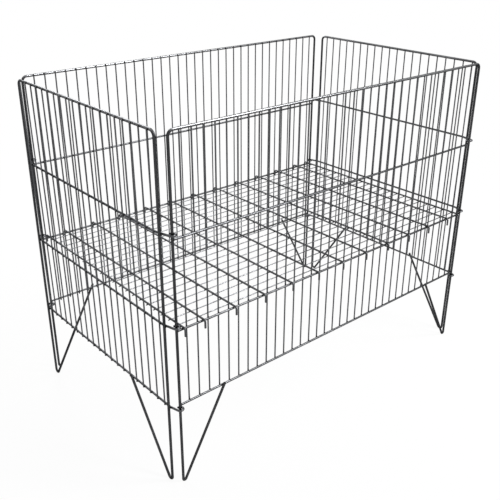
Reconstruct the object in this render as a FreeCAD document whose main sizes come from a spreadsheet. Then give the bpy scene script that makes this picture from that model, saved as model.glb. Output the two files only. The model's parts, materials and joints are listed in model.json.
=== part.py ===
import FreeCAD
import Part
import Sketcher
import math
import os

doc = FreeCAD.newDocument("dumpBin")

# Driving dimensions, in millimetres. X runs along the long side, -Y is the front, Z is up.
# "plane" is how far a panel's frame stands from the middle, "half" is half a panel's width.
values = {
    "frameDia": 6.0,
    "railDia": 5.0,
    "infillDia": 3.3,
    "rodDia": 4.5,
    "meshDia": 2.4,
    "setDown": 0.25,
    "longHalf": 482.8,
    "longPlane": 295.7,
    "longTop": 805.0,
    "longMid": 592.3,
    "longDeck": 390.4,
    "longBase": 208.6,
    "longGaps": 35,
    "longRailEnd": 481.4,
    "shortHalf": 277.7,
    "shortPlane": 499.7,
    "shortTop": 803.5,
    "shortMid": 602.9,
    "shortDeck": 399.9,
    "shortBase": 199.0,
    "shortInfills": 20,
    "shortPitch": 27.5,
    "shortInfillFoot": 1.0,
    "topBend": 12.0,
    "longFoot": 4.0,
    "shortFoot": 7.0,
    "longBraceAcross": 462.2,
    "longBraceTop": 28.6,
    "leanAcross": 358.8,
    "leanShift": 6.0,
    "leanOut": 4.92,
    "leanTop": 215.0,
    "shortBraceAcross": 131.0,
    "shortBraceTop": 205.0,
    "eyeRadius": 6.7,
    "eyeTail": 1.16,
    "straightMid": 260.79,
    "straightDeck": 268.39,
    "straightBase": 275.92,
    "railBend": 9.0,
    "infillFoot": 1.6,
    "infillHead": 1.5,
    "rodPitch": 83.4,
    "edgeRod": 467.5,
    "rodClear": 0.3,
    "hookOut": 304.5,
    "hookDrop": 18.4,
    "hookBend": 6.0,
    "meshReach": 276.0,
    "meshCount": 21,
    "meshOverhang": 4.25,
    "meshShift": 2.5,
}

sheet = doc.addObject("Spreadsheet::Sheet", "dims")
for row, (alias, value) in enumerate(values.items(), start=1):
    sheet.set("A%d" % row, alias)
    sheet.set("B%d" % row, str(value))
    sheet.setAlias("B%d" % row, alias)
doc.recompute()

# A panel's plane seen from outside: local x runs along the panel and local y runs up.
alongX = FreeCAD.Rotation(FreeCAD.Vector(1, 0, 0), 90)
alongY = FreeCAD.Rotation(FreeCAD.Vector(1, 1, 1), 120)
flat = FreeCAD.Rotation()
crossways = FreeCAD.Rotation(FreeCAD.Vector(0, 1, 0), 90)
halfTurn = FreeCAD.Rotation(FreeCAD.Vector(0, 0, 1), 180)
point = FreeCAD.Vector
nodes = []


def line(a, b):
    return Part.LineSegment(point(*a, 0), point(*b, 0))


def arc(centre, radius, start, end):
    circle = Part.Circle(point(*centre, 0), point(0, 0, 1), radius)
    return Part.ArcOfCircle(circle, math.radians(start), math.radians(end))


def place(thing, rotation, base):
    """Turn an object and bind each coordinate of its position to the sheet."""
    thing.Placement = FreeCAD.Placement(point(0, 0, 0), rotation)
    for axis, formula in zip("xyz", base):
        thing.setExpression("Placement.Base." + axis, formula)


def dimension(sketch, kind, where, name, formula):
    """Add a named dimension to a sketch and drive it from the sheet."""
    sketch.addConstraint(Sketcher.Constraint(kind, *where, float(sketch.evalExpression(formula))))
    index = sketch.ConstraintCount - 1
    sketch.renameConstraint(index, name)
    sketch.setExpression("Constraints." + name, formula)


def sweep(name, path, diameter):
    """A round wire along a sketched path."""
    doc.recompute()
    section = doc.addObject("Sketcher::SketchObject", name + "Section")
    section.AttachmentSupport = [(path, "Edge1")]
    section.MapMode = "NormalToEdge"
    section.MapPathParameter = 0.0
    section.addGeometry(Part.Circle(point(0, 0, 0), point(0, 0, 1), 2.0))
    section.addConstraint(Sketcher.Constraint("Coincident", 0, 3, -1, 1))
    dimension(section, "Radius", (0,), "wire", "dims.%s / 2" % diameter)
    wire = doc.addObject("Part::Sweep", name)
    wire.Sections = [section]
    wire.Spine = (path, ["Edge%d" % (i + 1) for i in range(len(path.Shape.Edges))])
    wire.Solid = True
    wire.Frenet = False
    return wire


def rod(name, diameter, rotation, base, length):
    """A straight round wire."""
    wire = doc.addObject("Part::Cylinder", name)
    wire.setExpression("Radius", "dims.%s / 2" % diameter)
    wire.setExpression("Height", length)
    place(wire, rotation, base)
    return wire


def node(thing, label):
    thing.Label = label
    nodes.append(thing)


def group(label, members):
    """Identical wires that share one node, each still a solid of its own."""
    compound = doc.addObject("Part::Compound", label + "Set")
    compound.Links = members
    node(compound, label)


def value(alias):
    return float(sheet.get(alias))


def hoopPath(name, kind, rotation, base):
    """One bent wire: brace, V foot, upright, top, upright, V foot, brace."""
    half, top = value(kind + "Half"), value(kind + "Top")
    across, braceTop = value(kind + "BraceAcross"), value(kind + "BraceTop")
    bend, foot = value("topBend"), value(kind + "Foot")
    rise = value("frameDia") / 2 + foot
    # The brace leaves the foot's bend on the tangent that points at its upper end.
    dx, dy = half - foot - across, braceTop - rise
    slope = math.degrees(math.atan2(dy, dx) + math.asin(foot / math.hypot(dx, dy)))
    tangent = (
        -half + foot + foot * math.sin(math.radians(slope)),
        rise - foot * math.cos(math.radians(slope)),
    )
    path = doc.addObject("Sketcher::SketchObject", name + "Path")
    place(path, rotation, base)
    path.addGeometry([
        line((-across, braceTop), tangent),
        arc((-half + foot, rise), foot, 180, 270 + slope),
        line((-half, rise), (-half, top - bend)),
        arc((-half + bend, top - bend), bend, 90, 180),
        line((-half + bend, top), (half - bend, top)),
        arc((half - bend, top - bend), bend, 0, 90),
        line((half, top - bend), (half, rise)),
        arc((half - foot, rise), foot, 270 - slope, 360),
        line((-tangent[0], tangent[1]), (across, braceTop)),
    ])
    joins = [(0, 2, 1, 2), (1, 1, 2, 1), (2, 2, 3, 2), (3, 1, 4, 1),
             (4, 2, 5, 2), (5, 1, 6, 1), (6, 2, 7, 2), (7, 1, 8, 1)]
    for join in joins:
        path.addConstraint(Sketcher.Constraint("Tangent", *join))
    path.addConstraint(Sketcher.Constraint("Vertical", 6))
    path.addConstraint(Sketcher.Constraint("Vertical", 2))
    path.addConstraint(Sketcher.Constraint("Horizontal", 4))
    path.addConstraint(Sketcher.Constraint("Equal", 3, 5))
    path.addConstraint(Sketcher.Constraint("Equal", 1, 7))
    path.addConstraint(Sketcher.Constraint("Symmetric", 2, 1, 6, 2, -2))
    path.addConstraint(Sketcher.Constraint("Symmetric", 0, 1, 8, 2, -2))
    dimension(path, "DistanceX", (-1, 1, 6, 2), "halfWidth", "dims.%sHalf" % kind)
    dimension(path, "DistanceY", (-1, 1, 4, 1), "height", "dims.%sTop" % kind)
    dimension(path, "Radius", (5,), "corner", "dims.topBend")
    dimension(path, "Radius", (7,), "foot", "dims.%sFoot" % kind)
    dimension(path, "DistanceY", (-1, 1, 7, 3), "footRise", "dims.frameDia / 2 + dims.%sFoot" % kind)
    dimension(path, "DistanceX", (-1, 1, 8, 2), "braceAcross", "dims.%sBraceAcross" % kind)
    dimension(path, "DistanceY", (-1, 1, 8, 2), "braceTop", "dims.%sBraceTop" % kind)
    return path


def shortWall(height):
    """How far out the short sides' infill wires stand: they lean from the base rail to the top."""
    foot = "(dims.shortPlane - (dims.frameDia - dims.infillDia) / 2)"
    head = "(dims.shortPlane + (dims.frameDia + dims.infillDia) / 2 - dims.setDown)"
    share = "(%s - dims.shortBase) / (dims.shortTop - dims.shortBase)" % height
    return "(%s + (%s - %s) * %s)" % (foot, head, foot, share)


def railPath(name, level, rotation):
    """A short side's horizontal wire: straight, then a jog into an eye at each end."""
    inset = shortWall("dims.short" + level) + " - (dims.railDia + dims.infillDia) / 2 + dims.setDown"
    path = doc.addObject("Sketcher::SketchObject", name + "Path")
    place(path, rotation, ("0", "0", "dims.short" + level))
    across = float(path.evalExpression(inset))
    straight, bend = value("straight" + level), value("railBend")
    eyeX, eyeY, eye = value("longHalf"), value("longPlane"), value("eyeRadius")
    # The jog's straight stretch is tangent to both its own bend and the eye.
    dx, dy = eyeX - across + bend, eyeY - straight
    lean = math.degrees(math.atan2(dy, dx) + math.asin((bend - eye) / math.hypot(dx, dy))) - 90
    out = (math.cos(math.radians(lean)), math.sin(math.radians(lean)))
    high = (across - bend + bend * out[0], straight + bend * out[1])
    touch = (eyeX + eye * out[0], eyeY + eye * out[1])
    tail = 360 - math.degrees(math.acos(value("eyeTail") / eye))
    path.addGeometry([
        arc((eyeX, -eyeY), eye, 360 - tail, 360 - lean),
        line((touch[0], -touch[1]), (high[0], -high[1])),
        arc((across - bend, -straight), bend, 360 - lean, 360),
        line((across, -straight), (across, straight)),
        arc((across - bend, straight), bend, 0, lean),
        line(high, touch),
        arc((eyeX, eyeY), eye, lean, tail),
    ])
    joins = [(0, 2, 1, 1), (1, 2, 2, 1), (2, 2, 3, 1), (3, 2, 4, 1), (4, 2, 5, 1), (5, 2, 6, 1)]
    for join in joins:
        path.addConstraint(Sketcher.Constraint("Tangent", *join))
    path.addConstraint(Sketcher.Constraint("Equal", 2, 4))
    path.addConstraint(Sketcher.Constraint("Equal", 0, 6))
    path.addConstraint(Sketcher.Constraint("Symmetric", 0, 3, 6, 3, -1))
    path.addConstraint(Sketcher.Constraint("Symmetric", 3, 1, 3, 2, -1))
    dimension(path, "DistanceX", (-1, 1, 3, 2), "across", inset)
    dimension(path, "DistanceY", (-1, 1, 3, 2), "straight", "dims.straight" + level)
    dimension(path, "Radius", (4,), "jog", "dims.railBend")
    dimension(path, "DistanceX", (-1, 1, 6, 3), "eyeAcross", "dims.longHalf")
    dimension(path, "DistanceY", (-1, 1, 6, 3), "eyeAlong", "dims.longPlane")
    dimension(path, "Radius", (6,), "eye", "dims.eyeRadius")
    dimension(path, "DistanceX", (0, 3, 0, 1), "firstTail", "dims.eyeTail")
    dimension(path, "DistanceX", (6, 3, 6, 2), "lastTail", "dims.eyeTail")
    return path


def hookPath(name, across):
    """A shelf rod: straight over the long sides, each end turned down as a hook."""
    level = value("longDeck") + (value("railDia") + value("rodDia")) / 2 + value("rodClear")
    out, bend, drop = value("hookOut"), value("hookBend"), value("hookDrop")
    path = doc.addObject("Sketcher::SketchObject", name + "Path")
    height = "dims.longDeck + (dims.railDia + dims.rodDia) / 2 + dims.rodClear"
    place(path, alongY, (across, "0", "0"))
    path.addGeometry([
        line((-out, level - drop), (-out, level - bend)),
        arc((-out + bend, level - bend), bend, 90, 180),
        line((-out + bend, level), (out - bend, level)),
        arc((out - bend, level - bend), bend, 0, 90),
        line((out, level - bend), (out, level - drop)),
    ])
    for join in [(0, 2, 1, 2), (1, 1, 2, 1), (2, 2, 3, 2), (3, 1, 4, 1)]:
        path.addConstraint(Sketcher.Constraint("Tangent", *join))
    path.addConstraint(Sketcher.Constraint("Vertical", 0))
    path.addConstraint(Sketcher.Constraint("Vertical", 4))
    path.addConstraint(Sketcher.Constraint("Horizontal", 2))
    path.addConstraint(Sketcher.Constraint("Equal", 1, 3))
    path.addConstraint(Sketcher.Constraint("Symmetric", 0, 1, 4, 2, -2))
    dimension(path, "DistanceX", (-1, 1, 4, 2), "out", "dims.hookOut")
    dimension(path, "DistanceY", (-1, 1, 2, 1), "level", height)
    dimension(path, "DistanceY", (-1, 1, 4, 2), "tip", height + " - dims.hookDrop")
    dimension(path, "Radius", (3,), "bend", "dims.hookBend")
    return path


# Long sides, front and back: a hoop, three rails butted between its uprights,
# and upright infill wires welded on the inside of the hoop's top and of the rails.
# The back is the front turned by half a turn, so both braces' tops are off centre the other way.
for side, sign in (("front", -1), ("back", 1)):
    plane = "%d * dims.longPlane" % sign
    hoop = [sweep(side + "Bent", hoopPath(side + "Hoop", "long", alongX, ("0", plane, "0")), "frameDia")]
    for hand in (-1, 1):
        run = point(
            hand * (value("leanAcross") - value("longBraceAcross")) + sign * value("leanShift"),
            sign * value("leanOut"),
            value("leanTop") - value("longBraceTop"),
        )
        length = "sqrt((dims.longBraceAcross - dims.leanAcross - %d * dims.leanShift)^2" % (hand * sign)
        length += " + dims.leanOut^2"
        length += " + (dims.leanTop - dims.longBraceTop)^2)"
        start = ("%d * dims.longBraceAcross" % hand, plane, "dims.longBraceTop")
        name = "%sBrace%s" % (side, "Left" if hand < 0 else "Right")
        hoop.append(rod(name, "frameDia", FreeCAD.Rotation(point(0, 0, 1), run), start, length))
    joined = doc.addObject("Part::MultiFuse", side + "Hoop")
    joined.Shapes = hoop
    node(joined, side + "_hoop")
    flush = "%d * (dims.longPlane - (dims.frameDia - dims.railDia) / 2)" % sign
    for level in ("Mid", "Deck", "Base"):
        base = ("-dims.longRailEnd", flush, "dims.long" + level)
        rail = rod(side + level, "railDia", crossways, base, "2 * dims.longRailEnd")
        node(rail, "%s_%s_rail" % (side, level.lower()))
    inside = "%d * (dims.longPlane - (dims.frameDia + dims.infillDia) / 2 + dims.setDown)" % sign
    bottom = "dims.longBase - dims.railDia / 2 - dims.infillFoot"
    length = "dims.longTop + dims.infillHead - (%s)" % bottom
    wires = []
    for i in range(1, int(value("longGaps"))):
        across = "dims.longHalf * (%d / dims.longGaps - 1)" % (2 * i)
        wires.append(rod("%sInfill%d" % (side, i), "infillDia", flat, (across, inside, bottom), length))
    group(side + "_infill", wires)

# Short sides, left and right: a hoop, three rails that pass inside its uprights and end in
# eyes round the long sides' uprights, and infill wires welded on the outside of hoop and rails.
for side, sign in (("left", -1), ("right", 1)):
    hoop = hoopPath(side + "Hoop", "short", alongY, ("%d * dims.shortPlane" % sign, "0", "0"))
    node(sweep(side + "Hoop", hoop, "frameDia"), side + "_hoop")
    for level in ("Mid", "Deck", "Base"):
        path = railPath(side + level, level, halfTurn if sign < 0 else flat)
        node(sweep(side + level, path, "railDia"), "%s_%s_rail" % (side, level.lower()))
    bottom = "dims.shortBase - dims.shortInfillFoot"
    top = "dims.shortTop + dims.infillHead"
    foot, head = shortWall("(%s)" % bottom), shortWall("(%s)" % top)
    run = point(sign * sheet.evalExpression("%s - %s" % (head, foot)), 0,
                sheet.evalExpression("%s - (%s)" % (top, bottom)))
    length = "sqrt((%s - %s)^2 + (%s - (%s))^2)" % (head, foot, top, bottom)
    lean = FreeCAD.Rotation(point(0, 0, 1), run)
    wires = []
    for i in range(int(value("shortInfills"))):
        along = "dims.shortPitch * (%d - (dims.shortInfills - 1) / 2)" % i
        base = ("%d * %s" % (sign, foot), along, bottom)
        wires.append(rod("%sInfill%d" % (side, i + 1), "infillDia", lean, base, length))
    group(side + "_infill", wires)

# Shelf: hooked rods from front to back, and thin wires welded across underneath them.
rods = []
for i in range(-5, 6):
    name = "rod%d" % (i + 5)
    rods.append(sweep(name, hookPath(name, "%d * dims.rodPitch" % i), "rodDia"))
group("shelf_cross_rods", rods)
edges = []
for name, sign in (("edgeLeft", -1), ("edgeRight", 1)):
    edges.append(sweep(name, hookPath(name, "%d * dims.edgeRod" % sign), "rodDia"))
group("shelf_edge_rods", edges)
mesh = []
under = "dims.longDeck + (dims.railDia - dims.meshDia) / 2 + dims.rodClear + dims.setDown"
reach = "dims.edgeRod + dims.meshOverhang"
for i in range(int(value("meshCount"))):
    along = "dims.meshReach * (%d / (dims.meshCount - 1) - 1) - dims.meshShift" % (2 * i)
    start = ("-(%s)" % reach, along, under)
    mesh.append(rod("mesh%d" % i, "meshDia", crossways, start, "2 * (%s)" % reach))
group("shelf_mesh_wires", mesh)

doc.recompute()

for thing in doc.Objects:
    if "Invalid" in thing.State or "Error" in thing.State:
        raise RuntimeError("%s did not compute: %s" % (thing.Name, thing.State))
for thing in nodes:
    if thing.Shape.isNull() or not thing.Shape.isValid() or not thing.Shape.Solids:
        raise RuntimeError("%s has no valid shape" % thing.Label)

os.makedirs("parts", exist_ok=True)
for thing in nodes:
    thing.Shape.exportStep("parts/%s.step" % thing.Label)
    box = thing.Shape.BoundBox
    print("%-20s %3d solids %10.0f mm3" % (thing.Label, len(thing.Shape.Solids), thing.Shape.Volume),
          "x %.1f %.1f y %.1f %.1f z %.1f %.1f" % (
              box.XMin, box.XMax, box.YMin, box.YMax, box.ZMin, box.ZMax))
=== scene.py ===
import bpy
import bmesh
import json
import random
from mathutils import Euler, Matrix, Vector

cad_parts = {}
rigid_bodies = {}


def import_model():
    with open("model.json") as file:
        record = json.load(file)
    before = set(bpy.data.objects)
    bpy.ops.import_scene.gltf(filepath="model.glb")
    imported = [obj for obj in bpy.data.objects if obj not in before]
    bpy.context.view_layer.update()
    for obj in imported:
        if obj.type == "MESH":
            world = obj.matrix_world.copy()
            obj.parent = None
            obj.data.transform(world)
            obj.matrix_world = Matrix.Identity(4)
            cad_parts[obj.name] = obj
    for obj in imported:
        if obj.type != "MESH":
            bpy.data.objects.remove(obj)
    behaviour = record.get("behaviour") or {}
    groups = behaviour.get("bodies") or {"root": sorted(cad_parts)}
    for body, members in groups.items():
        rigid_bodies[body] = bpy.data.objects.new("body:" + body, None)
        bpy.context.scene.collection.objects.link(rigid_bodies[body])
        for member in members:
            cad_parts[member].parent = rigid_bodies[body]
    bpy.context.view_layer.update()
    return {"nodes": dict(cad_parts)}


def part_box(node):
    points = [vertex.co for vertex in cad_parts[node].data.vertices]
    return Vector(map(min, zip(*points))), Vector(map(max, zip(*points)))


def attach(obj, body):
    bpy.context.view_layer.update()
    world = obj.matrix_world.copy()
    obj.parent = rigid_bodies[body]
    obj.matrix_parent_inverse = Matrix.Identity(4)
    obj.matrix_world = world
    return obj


for leftover in list(bpy.data.objects):
    bpy.data.objects.remove(leftover)
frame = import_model()
print("frame loaded:", len(frame["nodes"]), "nodes")

longSides = ("front", "back")
shortSides = ("left", "right")
levels = ("mid", "deck", "base")


# Where the wires cross, read from the solids themselves

wires = {
    "longInfillCount": 34,
    "shortInfillCount": 20,
    "frameRadius": 0.0030,
    "infillRadius": 0.00165,
    "rodRadius": 0.00225,
    "meshRadius": 0.0012,
    "crossRodCount": 11,
    "meshCount": 21,
    "endMargin": 0.003,
    "hoopMargin": 0.004,
}


def middle(node):
    low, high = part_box(node)
    return (low + high) / 2


def centreLines(low, high, radius, count):
    first, last = low + radius, high - radius
    return [first + (last - first) * i / (count - 1) for i in range(count)]


infillLow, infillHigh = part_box("front_infill")
longInfillX = centreLines(infillLow.x, infillHigh.x, wires["infillRadius"], wires["longInfillCount"])
sideLow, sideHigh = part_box("left_infill")
shortInfillY = centreLines(sideLow.y, sideHigh.y, wires["infillRadius"], wires["shortInfillCount"])
longPitch = longInfillX[1] - longInfillX[0]
shortPitch = shortInfillY[1] - shortInfillY[0]
longRailZ = [middle("front_%s_rail" % level).z for level in levels]
shortRailZ = [middle("left_%s_rail" % level).z for level in levels]
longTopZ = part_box("front_hoop")[1].z - wires["frameRadius"]
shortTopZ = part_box("left_hoop")[1].z - wires["frameRadius"]
rodLow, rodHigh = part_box("shelf_cross_rods")
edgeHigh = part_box("shelf_edge_rods")[1]
crossRodX = centreLines(rodLow.x, rodHigh.x, wires["rodRadius"], wires["crossRodCount"])
rodPitch = crossRodX[1] - crossRodX[0]
edgeRodX = edgeHigh.x - wires["rodRadius"]
edgeRodsX = [-edgeRodX, edgeRodX]
meshLow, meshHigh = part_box("shelf_mesh_wires")
meshY = centreLines(meshLow.y, meshHigh.y, wires["meshRadius"], wires["meshCount"])
meshPitch = meshY[1] - meshY[0]
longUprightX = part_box("front_hoop")[1].x - wires["frameRadius"]
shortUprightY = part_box("left_hoop")[1].y - wires["frameRadius"]


# Plated wire: metres, linear colours, and shares of one

plating = {
    "bright": (0.064, 0.065, 0.068),
    "dull": (0.038, 0.039, 0.041),
    "weldTone": (0.026, 0.025, 0.024),
    # pale rim tone: partly wear from hands, partly a painted highlight that makes the hoop tops read as
    # lit
    "bloomTone": (0.150, 0.153, 0.158),
    "rubbedAndHighlightTone": (0.230, 0.233, 0.240),
    "grime": (0.050, 0.045, 0.039),
    # these lifts make the same plating paler on rails, infill, rods and mesh than on the hoops: a
    # painted highlight
    "hoopPaintedHighlightLift": 1.0,
    "thinPaintedHighlightLift": 2.0,
    "railPaintedHighlightLift": 1.7,
    "rodPaintedHighlightLift": 1.7,
    "meshPaintedHighlightLift": 3.2,
    "edgeTint": 0.35,
    "roughness": 0.20,
    "roughnessSpread": 0.14,
    "cloudStart": 0.35,
    "cloudContrast": 2.2,
    "patchContrast": 0.9,
    "bloomSpeckle": 0.60,
    "bloomSharpness": 9,
    "bloomPatch": 0.30,
    "bloomGain": 2,
    "bloomAmount": 0.35,
    "bloomRoughness": 0.12,
    "weldReach": 0.0030,
    "weldFade": 0.0022,
    "weldRaggedness": 0.8,
    "weldAmount": 0.35,
    "weldRoughness": 0.06,
    "rubbedAndHighlightDrop": 0.002,
    "rubbedAndHighlightFade": 0.004,
    "rubbedAndHighlightRaggedness": 2,
    "rubbedAndHighlightAmount": 0.75,
    "gripPolish": 0.08,
    "footHeight": 0.008,
    "footFade": 0.010,
    "footRaggedness": 2.5,
    "grimeAmount": 0.65,
    "grimeRoughness": 0.35,
    "drawnAcross": 60,
    "drawnAlong": 1.5,
    "speckleRelief": 0.12,
    "weldRelief": 1.6,
    "reliefHeight": 0.00012,
    "reliefStrength": 0.80,
}
grains = {  # each noise as scale, detail and roughness
    "cloudy": (9.0, 4.0, 0.6),
    "patchy": (55.0, 3.0, 0.6),
    "speckle": (900.0, 2.0, 0.5),
    "drawn": (30.0, 3.0, 0.7),
    "beadGrain": (1400.0, 3.0, 0.6),
    "beadPatchy": (160.0, 3.0, 0.6),
}
noiseMean = 0.5


# Shader expressions: a Field is a socket that takes part in plain sums

class Field:
    def __init__(self, finish, socket):
        self.finish = finish
        self.socket = socket

    def __add__(self, other):
        return self.finish.sum("ADD", self, other)

    def __radd__(self, other):
        return self.finish.sum("ADD", other, self)

    def __sub__(self, other):
        return self.finish.sum("SUBTRACT", self, other)

    def __rsub__(self, other):
        return self.finish.sum("SUBTRACT", other, self)

    def __mul__(self, other):
        return self.finish.sum("MULTIPLY", self, other)

    def __rmul__(self, other):
        return self.finish.sum("MULTIPLY", other, self)

    def __truediv__(self, other):
        return self.finish.sum("DIVIDE", self, other)

    def __abs__(self):
        return self.finish.sum("ABSOLUTE", self)

    def beside(self, output):  # another output of the same node
        return Field(self.finish, self.socket.node.outputs[output])

    def closer(self, other):
        return self.finish.sum("MINIMUM", self, other)

    def clamped(self):
        return self.finish.add("ShaderNodeClamp", {}, {"Value": self})

    def every(self, pitch, start):  # distance from the nearest of evenly spaced stations
        return self.finish.sum("PINGPONG", self - start, pitch / 2)


class Finish:
    # the sockets of a colour Mix node share their names, so they are found by number
    mixFactor, mixPlain, mixMarked, mixResult = 0, 6, 7, 2

    def __init__(self, owner):
        self.owner = owner
        owner.use_nodes = True
        self.tree = owner.node_tree
        self.tree.nodes.clear()

    def add(self, kind, settings, sockets, output=0):
        node = self.tree.nodes.new(kind)
        for key, setting in settings.items():
            setattr(node, key, setting)
        for key, given in sockets.items():
            if isinstance(given, Field):
                self.tree.links.new(given.socket, node.inputs[key])
            else:
                node.inputs[key].default_value = given
        return Field(self, node.outputs[output]) if node.outputs else None

    def sum(self, operation, *values):
        return self.add("ShaderNodeMath", {"operation": operation}, dict(enumerate(values)))

    def place(self):
        coordinates = self.add("ShaderNodeTexCoord", {}, {}, "Object")
        split = self.add("ShaderNodeSeparateXYZ", {}, {"Vector": coordinates})
        return coordinates, [split.beside(axis) for axis in "XYZ"]

    def noise(self, vector, grain, stretch=(1, 1, 1)):
        scale, detail, roughness = grains[grain]
        stretched = self.add("ShaderNodeMapping", {}, {"Vector": vector, "Scale": stretch})
        return self.add("ShaderNodeTexNoise", {}, {
            "Vector": stretched, "Scale": scale, "Detail": detail, "Roughness": roughness,
        })

    def tint(self, amount, plain, marked):
        return self.add("ShaderNodeMix", {"data_type": "RGBA"}, {
            self.mixFactor: amount,
            self.mixPlain: plain if isinstance(plain, Field) else (*plain, 1),
            self.mixMarked: (*marked, 1),
        }, self.mixResult)

    def seen(self):  # 1 to the camera and in reflections, 0 to the light that falls on things
        rays = self.add("ShaderNodeLightPath", {}, {}, "Is Camera Ray")
        return self.sum("MAXIMUM", rays, rays.beside("Is Glossy Ray"))

    def metal(self, colour, roughness, relief, strength):
        bump = self.add("ShaderNodeBump", {}, {"Strength": strength, "Distance": 1.0, "Height": relief})
        shader = self.add("ShaderNodeBsdfPrincipled", {}, {
            "Base Color": colour,
            "Roughness": roughness.clamped(),
            "Metallic": 1.0,
            "Specular Tint": (plating["edgeTint"],) * 3 + (1,),
            "Normal": bump,
        })
        self.add("ShaderNodeOutputMaterial", {}, {"Surface": shader})
        return self.owner


def platedWire(name, run, weldDistance, paintedHighlightLift, rubbedAndHighlightZ=None, footZ=None):
    finish = Finish(bpy.data.materials.new(name))
    place, (x, y, z) = finish.place()
    cloudy = finish.noise(place, "cloudy")
    patchy = finish.noise(place, "patchy")
    speckle = finish.noise(place, "speckle")
    stretch = [plating["drawnAcross"] if axis != run else plating["drawnAlong"] for axis in "XYZ"]
    drawn = finish.noise(place, "drawn", stretch)

    # plating: cloudy tone, with a fine pale bloom in places
    tone = ((cloudy - plating["cloudStart"]) * plating["cloudContrast"]
            + (patchy - noiseMean) * plating["patchContrast"]).clamped()
    # the lift scales the plating's tones, so each kind of wire gets a paler copy of one plating: a
    # painted highlight
    dull, bright = [[c * paintedHighlightLift for c in plating[shade]] for shade in ("dull", "bright")]
    colour = finish.tint(tone, dull, bright)
    bloom = ((speckle - plating["bloomSpeckle"]) * plating["bloomSharpness"]
             * (patchy - plating["bloomPatch"]) * plating["bloomGain"]).clamped()
    colour = finish.tint(bloom * plating["bloomAmount"], colour, plating["bloomTone"])
    roughness = (plating["roughness"] + (1 - tone) * plating["roughnessSpread"]
                 + bloom * plating["bloomRoughness"])

    # welds: a dull greyish ring round each crossing
    weld = ((plating["weldReach"] - weldDistance(x, y, z)) / plating["weldFade"]
            + (patchy - noiseMean) * plating["weldRaggedness"]).clamped()
    colour = finish.tint(weld * plating["weldAmount"], colour, plating["weldTone"])
    roughness = roughness + weld * plating["weldRoughness"]

    if rubbedAndHighlightZ is not None:  # the rim: rubbed smoother by hands, and made paler in colour as a painted highlight of light falling on the top
        rubbedAndHighlit = ((z - rubbedAndHighlightZ) / plating["rubbedAndHighlightFade"]
                  + (cloudy - noiseMean) * plating["rubbedAndHighlightRaggedness"]).clamped()
        colour = finish.tint(rubbedAndHighlit * plating["rubbedAndHighlightAmount"], colour, plating["rubbedAndHighlightTone"])
        roughness = roughness - rubbedAndHighlit * plating["gripPolish"]
    if footZ is not None:  # feet, scuffed and dusty where they meet the floor
        dusty = ((footZ - z) / plating["footFade"]
                 + (patchy - noiseMean) * plating["footRaggedness"]).clamped()
        colour = finish.tint(dusty * plating["grimeAmount"], colour, plating["grime"])
        roughness = roughness + dusty * plating["grimeRoughness"]

    relief = (drawn + speckle * plating["speckleRelief"]
              + patchy * weld * plating["weldRelief"]) * plating["reliefHeight"]
    return finish.metal(colour, roughness, relief, plating["reliefStrength"])


# How far a point of each kind of wire is from its nearest weld

def nearest(value, stations):
    distance = abs(value - stations[0])
    for station in stations[1:]:
        distance = distance.closer(abs(value - station))
    return distance


def longInfillWelds(x, y, z):
    return nearest(z, longRailZ + [longTopZ])


def shortInfillWelds(x, y, z):
    return nearest(z, shortRailZ + [shortTopZ])


def longRailWelds(x, y, z):
    return x.every(longPitch, longInfillX[0])


def shortRailWelds(x, y, z):
    return y.every(shortPitch, shortInfillY[0]) + (abs(y) - shortUprightY - wires["endMargin"]).clamped()


def longHoopWelds(x, y, z):
    rim = x.every(longPitch, longInfillX[0]) + (longTopZ - wires["hoopMargin"] - z).clamped()
    return rim.closer(nearest(z, longRailZ) + (longUprightX - wires["hoopMargin"] - abs(x)).clamped())


def shortHoopWelds(x, y, z):
    rim = y.every(shortPitch, shortInfillY[0]) + (shortTopZ - wires["hoopMargin"] - z).clamped()
    return rim.closer(nearest(z, shortRailZ) + (shortUprightY - wires["hoopMargin"] - abs(y)).clamped())


def rodWelds(x, y, z):
    return y.every(meshPitch, meshY[0]) + (abs(y) - meshY[-1] - wires["endMargin"]).clamped()


def meshWelds(x, y, z):
    return x.every(rodPitch, crossRodX[0]).closer(nearest(x, edgeRodsX))


def dress(node, material):
    slots = frame["nodes"][node].data.materials
    slots.clear()
    slots.append(material)


finishes = {
    "longHoop": platedWire("hoopWireLong", "Z", longHoopWelds, plating["hoopPaintedHighlightLift"],
                           longTopZ - plating["rubbedAndHighlightDrop"], plating["footHeight"]),
    "shortHoop": platedWire("hoopWireShort", "Z", shortHoopWelds, plating["hoopPaintedHighlightLift"],
                            shortTopZ - plating["rubbedAndHighlightDrop"], plating["footHeight"]),
    "longRail": platedWire("railWireLong", "X", longRailWelds, plating["railPaintedHighlightLift"]),
    "shortRail": platedWire("railWireShort", "Y", shortRailWelds, plating["railPaintedHighlightLift"]),
    "longInfill": platedWire("uprightWireLong", "Z", longInfillWelds, plating["thinPaintedHighlightLift"]),
    "shortInfill": platedWire("uprightWireShort", "Z", shortInfillWelds, plating["thinPaintedHighlightLift"]),
    "rod": platedWire("shelfRod", "Y", rodWelds, plating["rodPaintedHighlightLift"]),
    "mesh": platedWire("shelfMesh", "X", meshWelds, plating["meshPaintedHighlightLift"]),
}
for sides, kind in ((longSides, "long"), (shortSides, "short")):
    for side in sides:
        dress(side + "_hoop", finishes[kind + "Hoop"])
        dress(side + "_infill", finishes[kind + "Infill"])
        for level in levels:
            dress("%s_%s_rail" % (side, level), finishes[kind + "Rail"])
dress("shelf_cross_rods", finishes["rod"])
dress("shelf_edge_rods", finishes["rod"])
dress("shelf_mesh_wires", finishes["mesh"])
print("wires dressed")


# Welds: a small squeezed-out bead at every crossing, each a little different

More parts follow.
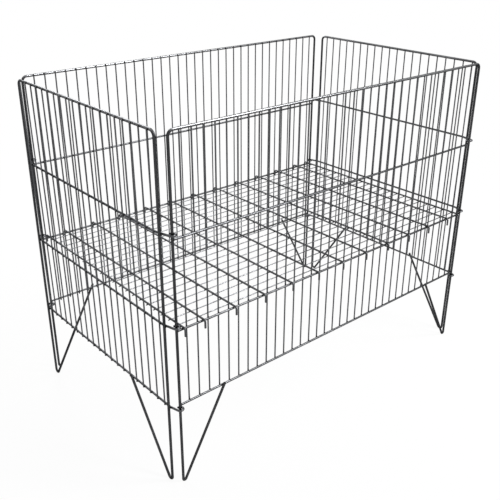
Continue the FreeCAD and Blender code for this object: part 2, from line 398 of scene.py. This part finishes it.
beads = {
    "segments": 8,
    "rings": 6,
    "seed": 4,
    "spread": 0.12,
    "longInfill": (0.0025, 0.0011, 0.0027),
    "shortInfill": (0.0011, 0.0025, 0.0027),
    "longRim": (0.0025, 0.0012, 0.0026),
    "shortRim": (0.0012, 0.0025, 0.0026),
    "mesh": (0.0020, 0.0019, 0.0008),
    "upright": (0.0016, 0.0031, 0.0031),
    "passing": (0.0012, 0.0037, 0.0034),
    "passingInset": 0.0007,
    "toneStart": 0.35,
    "toneContrast": 2.5,
    "roughness": 0.42,
    "roughnessSpread": 0.2,
    "patchRelief": 0.5,
    "reliefHeight": 0.0001,
    "reliefStrength": 0.5,
}
chance = random.Random(beads["seed"])


def weldMaterial():
    finish = Finish(bpy.data.materials.new("weldBead"))
    place = finish.place()[0]
    grain = finish.noise(place, "beadGrain")
    patchy = finish.noise(place, "beadPatchy")
    tone = ((patchy - beads["toneStart"]) * beads["toneContrast"]).clamped()
    colour = finish.tint(tone, plating["weldTone"], plating["dull"])
    roughness = beads["roughness"] + grain * beads["roughnessSpread"]
    relief = (grain + patchy * beads["patchRelief"]) * beads["reliefHeight"]
    return finish.metal(colour, roughness, relief, beads["reliefStrength"])


def bead(mesh, place, size):
    grown = [s * (1 + chance.uniform(-beads["spread"], beads["spread"])) for s in size]
    bmesh.ops.create_uvsphere(mesh, u_segments=beads["segments"], v_segments=beads["rings"], radius=1,
                              matrix=Matrix.LocRotScale(Vector(place), None, Vector(grown)))


def finishWelds(mesh, name, body):
    for face in mesh.faces:
        face.smooth = True
    data = bpy.data.meshes.new(name)
    mesh.to_mesh(data)
    mesh.free()
    data.materials.append(weldFinish)
    piece = bpy.data.objects.new(name, data)
    bpy.context.scene.collection.objects.link(piece)
    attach(piece, body)


weldFinish = weldMaterial()
for side, sign in (("front", -1), ("back", 1)):
    mesh = bmesh.new()
    railLow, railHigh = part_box(side + "_mid_rail")
    inner = railHigh.y if sign < 0 else railLow.y
    for x in longInfillX:
        for z in longRailZ:
            bead(mesh, (x, inner, z), beads["longInfill"])
        bead(mesh, (x, inner, longTopZ), beads["longRim"])
    for z in longRailZ:  # rails butted against the uprights
        for hand in (-1, 1):
            bead(mesh, (hand * (longUprightX - wires["frameRadius"]), (railLow.y + railHigh.y) / 2, z),
                 beads["upright"])
    finishWelds(mesh, side + "_welds", "frame")
for side, sign in (("left", -1), ("right", 1)):
    mesh = bmesh.new()
    hoopX = middle(side + "_hoop").x
    for level, z in zip(levels, shortRailZ):
        railLow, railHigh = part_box("%s_%s_rail" % (side, level))
        railX = railLow.x if sign < 0 else railHigh.x
        for y in shortInfillY:
            bead(mesh, (railX, y, z), beads["shortInfill"])
        for hand in (-1, 1):  # rails passed inside the uprights
            bead(mesh, (hoopX - sign * wires["frameRadius"],
                        hand * (shortUprightY - beads["passingInset"]), z), beads["passing"])
    for y in shortInfillY:
        bead(mesh, (hoopX + sign * wires["frameRadius"], y, shortTopZ), beads["shortRim"])
    finishWelds(mesh, side + "_welds", "frame")
mesh = bmesh.new()
rodUnderside = rodHigh.z - 2 * wires["rodRadius"]
for y in meshY:
    for x in crossRodX + edgeRodsX:
        bead(mesh, (x, y, rodUnderside), beads["mesh"])
finishWelds(mesh, "shelf_welds", "shelf")
print("welds made")


# Floor, light and camera

studio = {
    "floorTone": (0.72, 0.72, 0.72),
    "floorGlow": 0.93,
    "floorFade": (0.8, 2.4),
    "floorSize": 30,
    "worldFill": 0.5,
    "lampAim": (-0.2, 0, 0.5),
    "keyPlace": (1.5, -2.0, 2.8),
    "keySize": (0.7, 1.8),
    "keyPower": 130.0,
    "rimPlace": (0.7, 2.4, 1.95),
    "rimSize": (1.4, 0.7),
    "rimPower": 60.0,
}
view = {
    "place": (-1.18236, -1.33323, 1.15592),
    "turn": (1.1317, -0.0033, -0.7093),
    "lens": 51.97,
    "sensor": 36,
}
white = (1, 1, 1, 1)


def floorMaterial():
    finish = Finish(bpy.data.materials.new("paleFloor"))
    seen = finish.seen()
    x, y = finish.place()[1][:2]
    radius = finish.sum("SQRT", x * x + y * y)
    near, far = studio["floorFade"]
    away = ((radius - near) / (far - near)).clamped()
    share = studio["floorGlow"] + away * (1 - studio["floorGlow"])
    matte = finish.add("ShaderNodeBsdfDiffuse", {}, {"Color": (*studio["floorTone"], 1)})
    glow = finish.add("ShaderNodeEmission", {}, {"Color": white, "Strength": 1.0})
    mixed = finish.add("ShaderNodeMixShader", {}, {0: seen * share, 1: matte, 2: glow})
    finish.add("ShaderNodeOutputMaterial", {}, {"Surface": mixed})
    return finish.owner


def whiteWorld():
    finish = Finish(bpy.data.worlds.new("studioWorld"))
    level = finish.add("ShaderNodeMapRange", {}, {
        "Value": finish.seen(), "To Min": studio["worldFill"], "To Max": 1.0,
    })
    sky = finish.add("ShaderNodeBackground", {}, {"Color": white, "Strength": level})
    finish.add("ShaderNodeOutputWorld", {}, {"Surface": sky})
    return finish.owner


def softLamp(name, place, size, power):
    data = bpy.data.lights.new(name, "AREA")
    data.shape = "RECTANGLE"
    data.size, data.size_y = size
    data.energy = power
    lamp = bpy.data.objects.new(name, data)
    lamp.location = place
    lamp.rotation_euler = (Vector(studio["lampAim"]) - Vector(place)).to_track_quat("-Z", "Y").to_euler()
    bpy.context.scene.collection.objects.link(lamp)


mesh = bmesh.new()
bmesh.ops.create_grid(mesh, x_segments=1, y_segments=1, size=studio["floorSize"])
floorData = bpy.data.meshes.new("floor")
mesh.to_mesh(floorData)
mesh.free()
floorData.materials.append(floorMaterial())
floor = bpy.data.objects.new("floor", floorData)
bpy.context.scene.collection.objects.link(floor)

bpy.context.scene.world = whiteWorld()
softLamp("keyLamp", studio["keyPlace"], studio["keySize"], studio["keyPower"])
softLamp("rimLamp", studio["rimPlace"], studio["rimSize"], studio["rimPower"])

cameraData = bpy.data.cameras.new("camera")
cameraData.sensor_width = view["sensor"]
cameraData.lens = view["lens"]
camera = bpy.data.objects.new("camera", cameraData)
camera.location = view["place"]
camera.rotation_euler = Euler(view["turn"])
bpy.context.scene.collection.objects.link(camera)
bpy.context.scene.camera = camera
bpy.context.scene.view_settings.view_transform = "Standard"
print("studio set")
